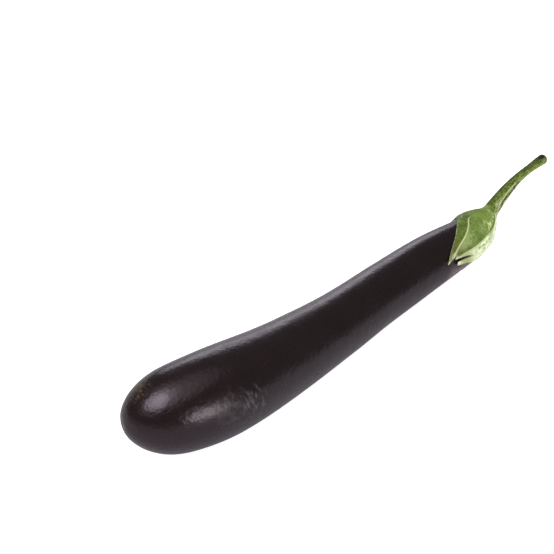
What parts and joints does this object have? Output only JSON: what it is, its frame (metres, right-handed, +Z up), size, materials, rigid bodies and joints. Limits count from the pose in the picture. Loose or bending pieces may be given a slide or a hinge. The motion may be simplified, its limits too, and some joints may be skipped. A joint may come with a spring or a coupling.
{
  "type": "eggplant",
  "caption": "Long slim eggplant as picked, lying on its side, with a ribbed green calyx of pointed sepals and a curved stem.",
  "frame": {"origin": "under the middle of the whole object, on the surface that it lies on", "axes": "+X along the object from the blossom end to the cut end of the stem, +Z up"},
  "size_m": [0.3512, 0.056, 0.0496],
  "materials": {
    "fruit_skin": "smooth waxy skin, almost black with a purple tint, soft sheen",
    "calyx_green": "matt leathery leaf tissue, olive green, paler on its ribs and lower faces",
    "stem_green": "matt fibrous stalk with a torn corky ridge and a dark cut end"
  },
  "bodies": {
    "root": {"fruit": "fruit_skin", "calyx": "calyx_green", "stem": "stem_green"}
  },
  "joints": []
}
